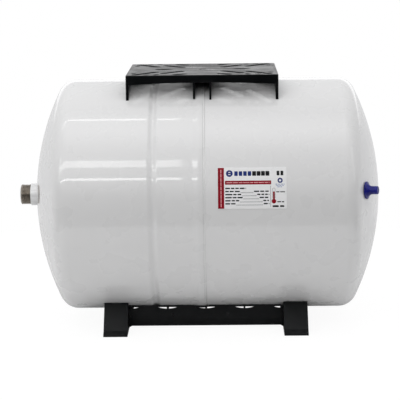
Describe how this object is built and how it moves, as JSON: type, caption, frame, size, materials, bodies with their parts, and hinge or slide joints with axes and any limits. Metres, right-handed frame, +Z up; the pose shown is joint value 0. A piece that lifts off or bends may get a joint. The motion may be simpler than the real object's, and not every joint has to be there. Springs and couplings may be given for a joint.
{
  "type": "expansion vessel",
  "caption": "Horizontal steel pressure tank with an inner rubber diaphragm, a threaded water inlet, a capped air valve, a slotted top plate for a pump and a moulded foot frame.",
  "frame": {"origin": "on the floor, under the middle of the vessel's whole box", "axes": "+X along the tank from the water connection to the air side, +Z up, -Y towards the side with the label"},
  "size_m": [0.5932, 0.3824, 0.4147],
  "materials": {
    "white_paint": "gloss white powder coat with slight orange peel",
    "stainless": "turned stainless steel",
    "zinc_steel": "bright zinc plate",
    "spring_steel": "drawn wire",
    "brass": "turned brass",
    "butyl": "moulded black butyl rubber",
    "liner_plastic": "natural polypropylene",
    "blue_plastic": "deep blue moulded plastic",
    "black_plastic": "black moulded plastic with a fine texture",
    "label_film": "printed plastic film"
  },
  "bodies": {
    "vessel": {"water_shell": "white_paint", "air_shell": "white_paint", "girth_weld": "white_paint", "clench_ring": "zinc_steel", "water_liner": "liner_plastic", "water_collar": "white_paint", "water_nipple": "stainless", "nipple_seal": "butyl", "rating_label": "label_film", "valve_boss": "white_paint", "valve_body": "brass", "valve_gasket": "butyl", "valve_spring": "spring_steel", "plate_bolt": "zinc_steel", "plate_washer": "zinc_steel", "plate_weld_nut": "zinc_steel", "pump_plate": "black_plastic", "base_frame": "black_plastic", "base_bolt_left": "zinc_steel", "base_washer_left": "zinc_steel", "base_weld_nut_left": "zinc_steel", "base_bolt_right": "zinc_steel", "base_washer_right": "zinc_steel", "base_weld_nut_right": "zinc_steel"},
    "diaphragm": {"diaphragm": "butyl"},
    "valve_pin": {"valve_pin": "brass"},
    "valve_cap": {"valve_cap": "blue_plastic"}
  },
  "joints": [
    {"name": "diaphragm_stroke", "type": "slide", "parent": "vessel", "child": "diaphragm", "axis": [1, 0, 0], "range_m": [0, 0.34], "stiffness_N_per_m": 40, "deforming": ["diaphragm"]},
    {"name": "valve_pin_press", "type": "slide", "parent": "vessel", "child": "valve_pin", "axis": [-0.9135, 0.399, -0.079], "range_m": [0, 0.0015], "stiffness_N_per_m": 1500, "springref_m": -0.001, "deforming": ["valve_spring"]},
    {"name": "valve_cap_pull", "type": "slide", "parent": "vessel", "child": "valve_cap", "axis": [0.9135, -0.399, 0.079], "range_m": [0, 0.03]}
  ]
}
